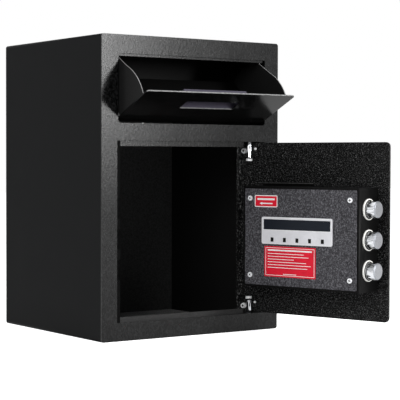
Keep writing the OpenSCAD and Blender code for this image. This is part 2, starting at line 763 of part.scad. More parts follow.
// Nuts inside the door for the panel studs and the emergency lock
module fixing_nuts() color(zinc_look) on_door() {
    for (p = panel_studs) difference() {
        hex_nut(p[0], p[1], 2 * stud_r, stud_out - 1);
        along_y(p[0], p[1], stud_r + run_gap, door_in - 1, door_in + stud_out);
    }
    difference() {
        hex_nut(lock_x, lock_z, barrel_r + 4, 4);
        along_y(lock_x, lock_z, barrel_r + run_gap, door_in - 1, door_in + 5);
    }
}

// Silver cover of the battery bay, with a sunk window and five finger slots
module battery_cover() color([0.80, 0.80, 0.82]) on_door() {
    y0 = cover_y + near_gap - 0.1;
    x0 = bay_x - bcover_w / 2;
    x1 = bay_x + bcover_w / 2;
    z0 = bay_z - bcover_h / 2;
    z1 = bay_z + bcover_h / 2;
    difference() {
        plate_xz(y0, bcover_t) round_rect(x0, z0, x1, z1, 3);
        block([x0 + 3.6, y0 + bcover_t - 0.9, z1 - 19], [x1 - 3.6, y0 + bcover_t + 1, z1 - 3.6]);
        for (i = [-2:2])
            block([bay_x + i * 22.6 - 1.4, y0 - 1, z0 + 4], [bay_x + i * 22.6 + 1.4, y0 + 4, z0 + 10]);
    }
}

// Bolt i: chamfered head, shank and tail stud
module locking_bolt(i) color(chrome_look) on_door() {
    chamfer = 1.6;
    shank = bolt_end - bolt_tip;
    tail = stud_end - bolt_tip;
    translate([bolt_tip, bolt_y, bolt_z[i]]) rotate([0, 90, 0]) rotate_extrude() polygon([
        [0, 0], [bolt_d / 2 - chamfer, 0], [bolt_d / 2, chamfer], [bolt_d / 2, shank],
        [stud_d / 2, shank], [stud_d / 2, tail], [0, tail]]);
}

module bolt_bottom() locking_bolt(0);

module bolt_middle() locking_bolt(1);

module bolt_top() locking_bolt(2);

// Bar that joins the bolts
module carrier_bar() color(zinc_look) on_door() {
    half = bolt_pitch + 12;
    difference() {
        block([bolt_end, tab_y, mid_z - half], [bolt_end + bar_t, bolt_y + 8.5, mid_z + half]);
        for (z = bolt_z) along_x(bolt_y, z, stud_d / 2 + run_gap, bolt_end - 1, bolt_end + bar_t + 1);
    }
}

// Fork on the carrier bar that the cam pin drives, with the tooth that the plunger blocks
module drive_fork() color(zinc_look) on_door() {
    fork_half = cam_pin_d / 2 + 0.8;
    fork_x = knob_x + cam_offset;
    difference() {
        block([bolt_end + bar_t, tab_y, mid_z - tab_half_h], [tab_end, tab_y + tab_t, mid_z + tab_half_h]);
        block([fork_x - fork_half, tab_y - 1, mid_z + cam_r * cos(cam_half) - cam_pin_d],
            [fork_x + fork_half, tab_y + tab_t + 1, mid_z + tab_half_h + 1]);
    }
    block([tooth_x, tab_y, mid_z + tab_half_h],
        [tooth_x + tooth_w, tab_y + tab_t, mid_z + tab_half_h + tooth_h]);
}

// Outside knob with a grip bar, bored for the spindle
module knob() color(plastic_black) on_door() difference() {
    face = -panel_d - near_gap;
    grip_w = 12;
    union() {
        along_y(knob_x, mid_z, knob_d / 2, face - 7, face);
        along_y(knob_x, mid_z, knob_d / 2 - 3, face - 10, face - 7);
        translate([knob_x, face, mid_z]) plate_xz(-22, 12)
            round_rect(-grip_w / 2, 3 - knob_d / 2, grip_w / 2, knob_d / 2 - 3, 4);
    }
    along_y(knob_x, mid_z, stud_d / 2 + run_gap, face - 10, face + 1);
}

// Spindle through the door with the cam disc
module drive_cam() color(zinc_look) on_door() {
    along_y(knob_x, mid_z, stud_d / 2, -panel_d - near_gap - 9, cam_y + cam_t);
    along_y(knob_x, mid_z, cam_disc_r, cam_y, cam_y + cam_t);
}

// Pin riveted to the cam disc, running in the fork
module cam_pin() color(chrome_look) on_door()
    along_y(knob_x + cam_r * sin(cam_rest), mid_z + cam_r * cos(cam_rest), cam_pin_d / 2,
        cam_y + cam_t, tab_y + tab_t + 1.5);

// Locking plunger, with the collar that its spring pushes on
module plunger() color(chrome_look) on_door() translate([knob_x, coil_y, plunger_z]) {
    cylinder(d = plunger_d, h = coil_z - plunger_z + 20);
    translate([0, 0, collar_z - plunger_z]) cylinder(d = plunger_d + 5, h = collar_h);
}

// Return spring of the plunger, as its outer tube
module plunger_spring() color(zinc_look) on_door()
    translate([knob_x, coil_y, collar_z + collar_h]) difference() {
        cylinder(d = plunger_d + 4, h = coil_z - collar_z - collar_h);
        translate([0, 0, -1]) cylinder(d = plunger_d + 2, h = 20);
    }

// Plug of the emergency lock, with its keyway and tail lever
module key_plug() color(chrome_look) on_door() {
    tail_y = door_in + barrel_reach + near_gap;
    face_y = -panel_d - collar_t;
    difference() {
        along_y(lock_x, lock_z, plug_r, face_y, tail_y);
        block([lock_x - 0.9, face_y - 1, lock_z - 4], [lock_x + 0.9, face_y + 18, lock_z + 3]);
    }
    block([lock_x - 4, tail_y, lock_z - 17], [lock_x + 4, tail_y + 2, lock_z + 4]);
}

// Cover that hangs over the keyhole on the panel's pivot
module key_cover() color(plastic_black) on_door() {
    neck_r = 6;
    difference() {
        plate_xz(hang_y - near_gap - hang_t, hang_t) union() {
            translate([lock_x, lock_z]) circle(collar_r);
            translate([lock_x - neck_r, lock_z]) square([2 * neck_r, cover_hang]);
            translate([lock_x, lock_z + cover_hang]) circle(neck_r);
        }
        along_y(lock_x, lock_z + cover_hang, cover_pin_r + run_gap, hang_y - hang_t - 1, hang_y + 1);
    }
}

// Key i of the pad, with the retaining skirt under the panel face
module pad_key(i) color([0.55, 0.56, 0.58]) on_door()
    translate([key_at(i)[0], -panel_d, key_at(i)[1]]) {
        block([-key_w / 2, -key_proud, -key_h / 2], [key_w / 2, panel_t + near_gap, key_h / 2]);
        block([-key_w / 2 - 1.5, panel_t + near_gap, -key_h / 2 - 1.5],
            [key_w / 2 + 1.5, pad_gap - near_gap, key_h / 2 + 1.5]);
    }

wrap_shell();
back_panel();
front_panel();
door_frame_top();
door_frame_bottom();
strike_post();
strike_tabs();
hopper_lintel();
hopper_sides();
hopper_rod();
antifish_baffle();
floor_mat();
flap();
quadrant_left();
quadrant_right();
bucket_plate();
finger_pull();
door_plate();
hinge_brackets();
hinge_pins();
hinge_screws();
lock_case();
lock_cover();
cover_screws();
bolt_bushings();
tail_guide();
solenoid();
circuit_board();
battery_tray();
battery_cells();
lock_labels();
key_barrel();
control_panel();
lamps();
fixing_nuts();
battery_cover();
bolt_top();
bolt_middle();
bolt_bottom();
carrier_bar();
drive_fork();
knob();
drive_cam();
cam_pin();
plunger();
plunger_spring();
key_plug();
key_cover();
pad_key(0);  // key_1
pad_key(1);  // key_2
pad_key(2);  // key_3
pad_key(3);  // key_4
pad_key(4);  // key_5
pad_key(5);  // key_6
pad_key(6);  // key_7
pad_key(7);  // key_8
pad_key(8);  // key_9
pad_key(9);  // key_10
pad_key(10);  // key_11
pad_key(11);  // key_12
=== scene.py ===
import json
import math

import bmesh
import bpy
from mathutils import Matrix, Vector


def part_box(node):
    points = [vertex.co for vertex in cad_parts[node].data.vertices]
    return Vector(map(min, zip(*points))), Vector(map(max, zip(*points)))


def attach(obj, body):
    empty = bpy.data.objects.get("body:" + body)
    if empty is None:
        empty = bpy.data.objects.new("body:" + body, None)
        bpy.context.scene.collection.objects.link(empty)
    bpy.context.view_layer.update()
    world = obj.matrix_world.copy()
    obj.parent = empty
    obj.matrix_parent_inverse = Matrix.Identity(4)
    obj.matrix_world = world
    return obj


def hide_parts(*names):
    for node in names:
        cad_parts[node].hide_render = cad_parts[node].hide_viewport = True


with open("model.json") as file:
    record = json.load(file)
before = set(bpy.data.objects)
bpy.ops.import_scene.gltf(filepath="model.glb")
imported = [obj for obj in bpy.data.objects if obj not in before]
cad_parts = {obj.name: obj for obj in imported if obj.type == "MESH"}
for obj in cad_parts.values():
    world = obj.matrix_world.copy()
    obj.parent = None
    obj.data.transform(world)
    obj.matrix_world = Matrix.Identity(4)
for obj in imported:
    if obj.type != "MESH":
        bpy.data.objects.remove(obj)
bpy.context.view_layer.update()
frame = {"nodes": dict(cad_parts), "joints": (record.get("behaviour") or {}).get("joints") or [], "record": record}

NODES = frame["nodes"]
JOINTS = {j["name"]: j for j in frame["joints"]}
MM = 0.001
SHARP = math.radians(35)
CORNER = Vector(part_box("front_panel")[0])


# Frames of reference

def turn_about(joint, degrees):
    """Turn about a joint's axis by so many degrees."""
    at = Vector(joint["pos_m"])
    turn = Matrix.Rotation(math.radians(degrees), 4, Vector(joint["axis"]))
    return Matrix.Translation(at) @ turn @ Matrix.Translation(-at)


# From shut to the photo's pose
DOOR_DEG = -JOINTS["door_swing"]["range_deg"][0]
HOPPER_DEG = -JOINTS["hopper_tilt"]["range_deg"][0]
DOOR = turn_about(JOINTS["door_swing"], DOOR_DEG)
HOPPER = turn_about(JOINTS["hopper_tilt"], HOPPER_DEG)


def shut_points(node):
    """Points of a node with the door shut, in mm from the cabinet's corner."""
    back = DOOR.inverted()
    return [(back @ v.co - CORNER) / MM for v in NODES[node].data.vertices]


def corners(points):
    """Lowest and highest corner of a set of points."""
    low = Vector([min(p[k] for p in points) for k in range(3)])
    high = Vector([max(p[k] for p in points) for k in range(3)])
    return low, high


def shut_box(node):
    """Corners of a node with the door shut, in mm from the cabinet's corner."""
    return corners(shut_points(node))


# Materials

def new_material(name, **sockets):
    """A principled material with these socket values, and its node tree and shader."""
    mat = bpy.data.materials.new(name)
    mat.use_nodes = True
    shader = mat.node_tree.nodes["Principled BSDF"]
    for key, value in sockets.items():
        shader.inputs[key.replace("_", " ")].default_value = value
    return mat, mat.node_tree, shader


def object_coords(tree, scale=(1, 1, 1)):
    """Coordinates fixed to the piece, stretched by scale."""
    coord = tree.nodes.new("ShaderNodeTexCoord")
    mapping = tree.nodes.new("ShaderNodeMapping")
    mapping.inputs["Scale"].default_value = scale
    tree.links.new(coord.outputs["Object"], mapping.inputs["Vector"])
    return mapping.outputs["Vector"]


def noise(tree, size_mm, detail, rough, coords=None):
    """Noise whose features are about size_mm across."""
    node = tree.nodes.new("ShaderNodeTexNoise")
    node.inputs["Scale"].default_value = 1000.0 / size_mm
    node.inputs["Detail"].default_value = detail
    node.inputs["Roughness"].default_value = rough
    tree.links.new(coords or object_coords(tree), node.inputs["Vector"])
    return node.outputs["Fac"]


def cells(tree, size_mm):
    """Smoothed distance to the nearest of points about size_mm apart."""
    node = tree.nodes.new("ShaderNodeTexVoronoi")
    node.feature = "SMOOTH_F1"
    node.inputs["Scale"].default_value = 1000.0 / size_mm
    tree.links.new(object_coords(tree), node.inputs["Vector"])
    return node.outputs["Distance"]


def ramp(tree, value, stops):
    """Colour ramp through (position, colour) stops."""
    node = tree.nodes.new("ShaderNodeValToRGB")
    band = node.color_ramp
    while len(band.elements) < len(stops):
        band.elements.new(0.5)
    for element, (position, colour) in zip(band.elements, stops):
        element.position = position
        element.color = (*colour, 1.0)
    tree.links.new(value, node.inputs["Fac"])
    return node.outputs["Color"]


def remap(tree, value, low, high, out_low, out_high):
    """Value range moved to another range, clamped."""
    node = tree.nodes.new("ShaderNodeMapRange")
    sockets = ("From Min", "From Max", "To Min", "To Max")
    for key, number in zip(sockets, (low, high, out_low, out_high)):
        node.inputs[key].default_value = number
    tree.links.new(value, node.inputs["Value"])
    return node.outputs["Result"]


def blend_colours(tree, a, b, kind, share=1.0):
    """Two colours blended by a kind and a share."""
    node = tree.nodes.new("ShaderNodeMix")
    node.data_type = "RGBA"
    node.blend_type = kind
    node.inputs["Factor"].default_value = share
    tree.links.new(a, node.inputs["A"])
    tree.links.new(b, node.inputs["B"])
    return node.outputs["Result"]


def bump(tree, height, depth_mm, strength=1.0, under=None):
    """Bump of a height field of depth_mm, on top of another normal."""
    node = tree.nodes.new("ShaderNodeBump")
    node.inputs["Strength"].default_value = strength
    node.inputs["Distance"].default_value = depth_mm * MM
    tree.links.new(height, node.inputs["Height"])
    if under is not None:
        tree.links.new(under, node.inputs["Normal"])
    return node.outputs["Normal"]


def grey(level, tint=0.0):
    """A grey, a little bluer for a positive tint."""
    return (level * (1 - tint), level, level * (1 + tint))


def coat(name, dark, light, rough, grain_mm, depth_mm, specular, spread=(0.35, 0.65), upright=1.0):
    """Powder coat: raised grains of two greys, longer upwards where upright is under 1."""
    mat, tree, shader = new_material(name, Specular_IOR_Level=specular)
    grain = noise(tree, grain_mm, 2.0, 0.7, object_coords(tree, (1, 1, upright)))
    slow = noise(tree, 40.0, 2.0, 0.5)
    colour = ramp(tree, grain, [(spread[0], dark), (spread[1], light)])
    tree.links.new(colour, shader.inputs["Base Color"])
    tree.links.new(remap(tree, slow, 0.3, 0.7, rough - 0.02, rough + 0.02), shader.inputs["Roughness"])
    tree.links.new(bump(tree, grain, depth_mm), shader.inputs["Normal"])
    return mat


def cabinet_coat():
    """Smooth satin black on the sides and back."""
    return coat("cabinet_coat", grey(0.006), grey(0.011, 0.05), 0.45, 1.2, 0.02, 0.012)


def hopper_painted_shade():
    """Darker copy of the cabinet's black for the sheets behind the hopper and inside the door: painted shade."""
    return coat("hopper_painted_shade", grey(0.002), grey(0.004), 0.40, 1.2, 0.02, 0.03)


def inner_coat():
    """The cabinet's coat inside, thinner and duller."""
    return coat("inner_coat", grey(0.016), grey(0.030), 0.55, 2.5, 0.03, 0.08)


def front_coat():
    """Fine-textured black of the front, with pale flecks on the grain."""
    return coat("front_coat", grey(0.001), grey(0.009, 0.02), 0.23, 2.1, 0.10, 0.17, (0.42, 0.62), 0.55)


def flap_coat():
    """Smooth black of the flap."""
    return coat("flap_coat", grey(0.0018), grey(0.0035), 0.17, 1.6, 0.012, 0.065)


def edge_painted_highlight():
    """Light grey on the sheets' cut edges, glossy: a painted highlight along the edges."""
    return coat("edge_painted_highlight", grey(0.09), grey(0.24), 0.3, 2.5, 0.02, 0.6)


def back_painted_light():
    """Coat inside the back panel, lighter than the inner walls: painted light on the back."""
    return coat("back_painted_light", grey(0.028), grey(0.052), 0.55, 2.5, 0.03, 0.08)


def case_coat():
    """Smooth near-black coat of the lock box."""
    return coat("case_coat", grey(0.001), grey(0.004), 0.4, 2.0, 0.03, 0.05)


def bead_painted_highlight():
    """Lighter grey along an edge: a painted highlight line."""
    return coat("bead_painted_highlight", grey(0.015), grey(0.06), 0.3, 3.0, 0.05, 0.4)


def speckled_painted_glints():
    """Black coat of the door's hinge side, with bright specks painted as glints."""
    mat, tree, shader = new_material("speckled_painted_glints", Roughness=0.4, Specular_IOR_Level=0.1)
    speck = noise(tree, 2.2, 1.0, 0.5, object_coords(tree, (1, 1, 0.7)))
    stops = [(0.46, grey(0.003)), (0.57, grey(0.02)), (0.64, grey(0.11)), (0.74, grey(0.32))]
    tree.links.new(ramp(tree, speck, stops), shader.inputs["Base Color"])
    tree.links.new(bump(tree, speck, 0.1), shader.inputs["Normal"])
    return mat


def door_coat():
    """Hammered gloss black: shallow craters, with fine pale flecks painted as glints, the same all over."""
    mat, tree, shader = new_material("door_coat", Specular_IOR_Level=0.05)
    crater = cells(tree, 2.1)
    fine = noise(tree, 1.8, 2.0, 0.6)
    # Pale flecks: painted glints of the hammered coat.
    fleck = noise(tree, 1.6, 1.0, 0.5, object_coords(tree, (1.0, 1.0, 1.2)))
    stops = [(0.52, grey(0.0)), (0.58, grey(0.012)), (0.66, grey(0.05)), (0.76, grey(0.13))]
    pale = ramp(tree, fleck, stops)
    dark = ramp(tree, fine, [(0.4, grey(0.002)), (0.7, grey(0.006))])
    tree.links.new(blend_colours(tree, dark, pale, "ADD"), shader.inputs["Base Color"])
    tree.links.new(remap(tree, fine, 0.3, 0.7, 0.08, 0.16), shader.inputs["Roughness"])
    raised = bump(tree, crater, 1.2)
    tree.links.new(bump(tree, fine, 0.22, 0.8, raised), shader.inputs["Normal"])
    return mat


def cover_coat():
    """Mottled charcoal of the lock cover, with pale smears."""
    mat, tree, shader = new_material("cover_coat", Specular_IOR_Level=0.06)
    grain = noise(tree, 2.4, 3.0, 0.8)
    smear = noise(tree, 6.0, 3.0, 0.75, object_coords(tree, (1.0, 1.0, 2.2)))
    stops = [(0.36, (0.020, 0.0195, 0.0215)), (0.50, (0.054, 0.053, 0.059)),
             (0.64, (0.155, 0.153, 0.167))]
    colour = ramp(tree, grain, stops)
    light = ramp(tree, smear, [(0.40, grey(0.6)), (0.50, grey(0.9)), (0.62, grey(1.0))])
    tree.links.new(blend_colours(tree, colour, light, "MULTIPLY", 0.8), shader.inputs["Base Color"])
    tree.links.new(remap(tree, smear, 0.3, 0.7, 0.42, 0.58), shader.inputs["Roughness"])
    tree.links.new(bump(tree, grain, 0.16), shader.inputs["Normal"])
    return mat


def metal(name, colour, rough, lines_mm=0.4, stretch=(1, 1, 1), depth_mm=0.004):
    """Plated metal with faint grain lines."""
    mat, tree, shader = new_material(name, Metallic=1.0)
    coords = object_coords(tree, stretch)
    line = noise(tree, lines_mm, 2.0, 0.6, coords)
    worn = noise(tree, 9.0, 3.0, 0.6)
    tone = ramp(tree, worn, [(0.35, tuple(0.94 * c for c in colour)), (0.65, colour)])
    tree.links.new(tone, shader.inputs["Base Color"])
    tree.links.new(remap(tree, line, 0.3, 0.7, rough * 0.8, rough * 1.25), shader.inputs["Roughness"])
    tree.links.new(bump(tree, line, depth_mm), shader.inputs["Normal"])
    return mat


def drawn_steel(name, turn, stretch):
    """Polished bar with waves along its length, turned by degrees about Z to lie along the bar."""
    mat, tree, shader = new_material(name, Metallic=1.0, Roughness=0.06,
                                     Base_Color=(0.50, 0.51, 0.53, 1.0))
    coord = tree.nodes.new("ShaderNodeTexCoord")
    mapping = tree.nodes.new("ShaderNodeMapping")
    mapping.vector_type = "TEXTURE"
    mapping.inputs["Rotation"].default_value = (0, 0, math.radians(turn))
    mapping.inputs["Scale"].default_value = stretch
    tree.links.new(coord.outputs["Object"], mapping.inputs["Vector"])
    wave = noise(tree, 3.4, 1.0, 0.5, mapping.outputs["Vector"])
    tree.links.new(bump(tree, wave, 2.4), shader.inputs["Normal"])
    return mat


def plastic(name, colour, rough, grain_mm=0.5, depth_mm=0.02, specular=0.5, **sockets):
    """Moulded plastic with a fine spark-eroded grain."""
    mat, tree, shader = new_material(name, Specular_IOR_Level=specular, **sockets)
    grain = noise(tree, grain_mm, 2.0, 0.6)
    slow = noise(tree, 15.0, 2.0, 0.5)
    tone = ramp(tree, slow, [(0.3, tuple(0.9 * c for c in colour)), (0.7, colour)])
    tree.links.new(tone, shader.inputs["Base Color"])
    tree.links.new(remap(tree, grain, 0.3, 0.7, rough - 0.05, rough + 0.05), shader.inputs["Roughness"])
    tree.links.new(bump(tree, grain, depth_mm), shader.inputs["Normal"])
    return mat


def felt():
    """Needled black felt."""
    mat, tree, shader = new_material("felt", Roughness=0.95, Specular_IOR_Level=0.1,
                                     Sheen_Weight=0.25)
    fibre = noise(tree, 0.6, 4.0, 0.8, object_coords(tree, (1, 3, 1)))
    colour = ramp(tree, fibre, [(0.3, grey(0.004)), (0.7, grey(0.014))])
    tree.links.new(colour, shader.inputs["Base Color"])
    tree.links.new(bump(tree, fibre, 0.4), shader.inputs["Normal"])
    return mat


FINISH = {
    "cabinet_coat": cabinet_coat(),
    "front_coat": front_coat(),
    "door_coat": door_coat(),
    "cover_coat": cover_coat(),
    "chrome": metal("chrome", (0.86, 0.87, 0.89), 0.09),
    "zinc_steel": metal("zinc_steel", (0.62, 0.63, 0.66), 0.32, 0.8, (1, 1, 8), 0.02),
    "black_plastic": plastic("black_plastic", (0.012, 0.012, 0.014), 0.45),
    "grey_plastic": plastic("grey_plastic", (0.060, 0.055, 0.075), 0.6, 0.8, 0.02, 0.10),
    "silver_plastic": plastic("silver_plastic", (0.64, 0.64, 0.67), 0.4, 0.9, 0.03, 0.4),
    "key_plastic": plastic("key_plastic", (0.30, 0.31, 0.33), 0.42),
    "nylon": plastic("nylon", (0.90, 0.89, 0.85), 0.4, 0.8, 0.01, 0.4),
    "label": plastic("label", (0.66, 0.010, 0.030), 0.4, 0.3, 0.004, 0.15),
    "lamp": plastic("lamp", (0.20, 0.01, 0.01), 0.12, 0.8, 0.002, 0.5, Coat_Weight=0.6),
    "coil": plastic("coil", (0.20, 0.09, 0.02), 0.35, 0.5, 0.05),
    "board": plastic("board", (0.01, 0.09, 0.03), 0.35, 2.0, 0.01),
    "cells": plastic("cells", (0.45, 0.22, 0.03), 0.25, 3.0, 0.005),
    "felt": felt()}
FLAP_COAT = flap_coat()
EDGE_PAINTED_HIGHLIGHT = edge_painted_highlight()
INNER_COAT = inner_coat()
HOPPER_PAINTED_SHADE = hopper_painted_shade()
JAMB_PAINTED_SHADE = coat("jamb_painted_shade", grey(0.0015), grey(0.004), 0.6, 2.0, 0.02, 0.02)
QUADRANT_COAT = coat("quadrant_coat", grey(0.006), grey(0.011), 0.5, 2.0, 0.02, 0.05)
SCREW_NICKEL = plastic("screw_nickel", (0.86, 0.87, 0.89), 0.45, 0.8, 0.01)
BOLT_FACE = metal("bolt_face", (0.27, 0.275, 0.29), 0.3, 0.8, (1, 1, 1), 0.01)
BOLT_RIM = metal("bolt_rim", (0.24, 0.25, 0.27), 0.42, 0.8, (1, 1, 1), 0.004)
WHITE_INK = plastic("white_ink", (0.82, 0.80, 0.80), 0.4, 0.4, 0.003)
SCREW_BRIGHT = plastic("screw_bright", (0.85, 0.85, 0.86), 0.3, 0.8, 0.003)
SILVER_RIM = plastic("silver_rim", (0.72, 0.72, 0.74), 0.25, 0.4, 0.003)
SLATE = plastic("slate_window", (0.011, 0.014, 0.020), 0.22, 1.0, 0.003, 0.06)
SLOT_PAINTED_SHADE = plastic("slot_painted_shade", (0.002, 0.002, 0.002), 0.6, 1.0, 0.003, 0.1)


def paint(obj, mat):
    """Puts one material on a whole piece."""
    obj.data.materials.clear()
    obj.data.materials.append(mat)


def paint_faces(node, mat, chosen):
    """Puts a further material on a node's faces whose normal and middle, at rest, are chosen."""
    mesh = NODES[node].data
    mesh.materials.append(mat)
    slot_index = len(mesh.materials) - 1
    for face in mesh.polygons:
        if chosen(face.normal, face.center):
            face.material_index = slot_index


OUTER_SHEETS = ("wrap_shell", "back_panel")
# Sheets inside get a darker copy of the cabinet's black: painted shade behind the hopper and inside the door.
for entry in frame["record"]["subparts"]:
    paint(NODES[entry["node"]], FINISH[entry["material_slot"]])
    if entry["material_slot"] == "cabinet_coat" and entry["node"] not in OUTER_SHEETS:
        paint(NODES[entry["node"]], HOPPER_PAINTED_SHADE)
paint(NODES["flap"], FLAP_COAT)
paint(NODES["cover_screws"], SCREW_NICKEL)
paint(NODES["hinge_screws"], SCREW_BRIGHT)
paint(NODES["lock_case"], case_coat())

# Pins and bolts: bar steel, with other finishes on heads and ends
BOLTS = ("bolt_top", "bolt_middle", "bolt_bottom")
BESIDE_PIN = 4 * MM
hinge_axis = CORNER + MM * Vector((276.5, 11.2, 0))
paint(NODES["hinge_pins"], drawn_steel("pin_steel", 0, (1, 1, 9)))
paint_faces("hinge_pins", SCREW_BRIGHT,
            lambda normal, middle: (middle - hinge_axis).xy.length > BESIDE_PIN)
free_edge = DOOR.to_3x3() @ Vector((-1, 0, 0))
bolt_steel = drawn_steel("bolt_steel", DOOR_DEG, (9, 1, 1))
for bolt in BOLTS:
    paint(NODES[bolt], bolt_steel)
    paint_faces(bolt, BOLT_FACE, lambda normal, middle: normal.dot(free_edge) > 0.95)
    paint_faces(bolt, BOLT_RIM, lambda normal, middle: 0.3 < normal.dot(free_edge) <= 0.95)

# Hopper: painted highlight on the cut edges of the cheeks and of the flap's top
for sheet in ("quadrant_left", "quadrant_right"):
    paint(NODES[sheet], QUADRANT_COAT)
    paint_faces(sheet, EDGE_PAINTED_HIGHLIGHT, lambda normal, middle: abs(normal.x) < 0.3)
flap_up = HOPPER.to_3x3() @ Vector((0, 0, 1))
paint_faces("flap", EDGE_PAINTED_HIGHLIGHT, lambda normal, middle: normal.dot(flap_up) > 0.5)

# Inside of the cabinet
shell_middle = (Vector(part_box("wrap_shell")[0]) + Vector(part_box("wrap_shell")[1])) / 2
# The back panel's inside gets a lighter coat than the walls: painted light on the back.
for sheet, coat_inside in (("wrap_shell", INNER_COAT), ("back_panel", back_painted_light()),
                           ("front_panel", INNER_COAT)):
    paint_faces(sheet, coat_inside,
                lambda normal, middle: normal.dot(shell_middle - middle) > 0.02)
# The right inner wall gets the darker quadrant coat: painted shade on that wall.
paint_faces("wrap_shell", QUADRANT_COAT, lambda normal, middle: normal.x < -0.5 and middle.x > 0)
paint(NODES["door_frame_bottom"], INNER_COAT)
paint(NODES["door_frame_top"], FINISH["front_coat"])
# Strike post and tabs get a near-black coat, darker than the inner coat: painted shade in the jamb.
for sheet in ("strike_post", "strike_tabs"):
    paint(NODES[sheet], JAMB_PAINTED_SHADE)
paint_faces("hopper_lintel", FINISH["front_coat"], lambda normal, middle: normal.y < -0.5)

# Door: bright specks painted as glints on the return flange at the hinges, and the front's coat outside
NEAR_HINGE = 40 * MM
hinge_side = DOOR.to_3x3() @ Vector((1, 0, 0))
paint_faces("door_plate", speckled_painted_glints(), lambda normal, middle: (
    normal.dot(hinge_side) < -0.9 and (middle - hinge_axis).xy.length < NEAR_HINGE))
out_of_door = DOOR.to_3x3() @ Vector((0, -1, 0))
paint_faces("door_plate", FINISH["front_coat"], lambda normal, middle: normal.dot(out_of_door) > 0.5)


# Softened edges

def bevel(obj, width_mm):
    """Rounds a piece's sharp edges a little."""
    edge = obj.modifiers.new("edge", "BEVEL")
    edge.width = width_mm * MM
    edge.segments = 2
    edge.limit_method = "ANGLE"
    edge.angle_limit = SHARP
    return edge


def soften(obj, width_mm):
    """Joins a piece's faces, clears their flat splits and rounds its sharp edges."""
    weld = obj.modifiers.new("weld", "WELD")
    weld.merge_threshold = 0.01 * MM
    flat = obj.modifiers.new("flat", "DECIMATE")
    flat.decimate_type = "DISSOLVE"
    flat.angle_limit = math.radians(0.5)
    flat.delimit = {"MATERIAL"}
    bevel(obj, width_mm).harden_normals = True


SOFT_EDGES = {
    0.8: ["wrap_shell"],
    0.6: ["front_panel", "flap", "door_plate", "knob", "control_panel"],
    0.3: ["quadrant_left", "quadrant_right", "bucket_plate", "lock_case", "lock_cover", "battery_cover",
          "key_cover", "finger_pull", "hopper_lintel", "door_frame_top", "door_frame_bottom",
          "strike_post", "strike_tabs", "hinge_brackets", *BOLTS, "bolt_bushings", "hinge_pins"]}
for width, names in SOFT_EDGES.items():
    for name in names:
        soften(NODES[name], width)
for number in range(1, 13):
    soften(NODES["key_%d" % number], 0.6)


# Drawing of the door's pieces, in mm from the cabinet's corner with the door shut

def rounded(x0, z0, x1, z1, r):
    """Outline of a rectangle with round corners, in X and Z."""
    steps = 5
    points = []
    for cx, cz, start in ((x1 - r, z0 + r, -90), (x1 - r, z1 - r, 0),
                          (x0 + r, z1 - r, 90), (x0 + r, z0 + r, 180)):
        for i in range(steps + 1):
            a = math.radians(start + 90.0 * i / steps)
            points.append((cx + r * math.cos(a), cz + r * math.sin(a)))
    return points


def inset(low, high, gap, r):
    """Outline of a box's front, drawn in by a gap, with round corners."""
    return rounded(low.x + gap, low.z + gap, high.x - gap, high.z - gap, r)


def disc(x, z, r, steps):
    """Outline of a circle in X and Z."""
    return [(x + r * math.cos(2 * math.pi * i / steps), z + r * math.sin(2 * math.pi * i / steps))
            for i in range(steps)]


def prism(bm, outline, y0, y1):
    """Plate of an outline between two depths."""
    near = [bm.verts.new((x, y0, z)) for x, z in outline]
    far = [bm.verts.new((x, y1, z)) for x, z in outline]
    bm.faces.new(near)
    bm.faces.new(far[::-1])
    for i in range(len(outline)):
        j = (i + 1) % len(outline)
        bm.faces.new((near[j], near[i], far[i], far[j]))


def ring(bm, outer, inner, y0, y1):
    """Plate between an outer and an inner outline of as many points."""
    loops = [[bm.verts.new((x, y, z)) for x, z in outline]
             for outline in (outer, inner) for y in (y0, y1)]
    for a, b in ((0, 1), (1, 3), (3, 2), (2, 0)):
        for i in range(len(outer)):
            j = (i + 1) % len(outer)
            bm.faces.new((loops[a][i], loops[a][j], loops[b][j], loops[b][i]))


def tube(bm, points, radius, sides=8):
    """Round wire along a line of points."""
    rows = []
    step = 2 * math.pi / sides
    for i, p in enumerate(points):
        ahead = (points[min(i + 1, len(points) - 1)] - points[max(i - 1, 0)]).normalized()
        helper = Vector((0.0, 0.0, 1.0)) if abs(ahead.z) < 0.9 else Vector((1.0, 0.0, 0.0))
        side = ahead.cross(helper).normalized()
        up = side.cross(ahead)
        rows.append([bm.verts.new(p + radius * (math.cos(k * step) * side + math.sin(k * step) * up))
                     for k in range(sides)])
    for a, b in zip(rows, rows[1:]):
        for k in range(sides):
            bm.faces.new((a[k], a[(k + 1) % sides], b[(k + 1) % sides], b[k]))
    bm.faces.new(rows[0][::-1])
    bm.faces.new(rows[-1])


def add_object(name, mesh, mat):
    """Adds a mesh to the scene under a name, with one material."""
    obj = bpy.data.objects.new(name, mesh)
    bpy.context.scene.collection.objects.link(obj)
    paint(obj, mat)
    return obj


# From the drawing's millimetres to the scene, with the door at the photo's pose
PLACED = DOOR @ Matrix.Translation(CORNER) @ Matrix.Scale(MM, 4)


def add_piece(name, bm, mat, body, edge_mm=0.0):
    """Turns a drawing into a piece that rides on a body."""
    bmesh.ops.recalc_face_normals(bm, faces=bm.faces)
    mesh = bpy.data.meshes.new(name)
    bm.to_mesh(mesh)
    bm.free()
    mesh.transform(PLACED)
    mesh.shade_smooth()
    mesh.set_sharp_from_angle(angle=SHARP)
    obj = add_object(name, mesh, mat)
    if edge_mm:
        bevel(obj, edge_mm)
    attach(obj, body)
    return obj


# Stickers on the lock cover, with plain bars where a real one has print

# How far print reaches into the face that carries it, and how far it stands out
PRINT_IN, PRINT_OUT = 0.05, 0.12


def print_on(bm, outline, face):
    """Print of an outline on a face."""
    prism(bm, outline, face - PRINT_IN, face + PRINT_OUT)


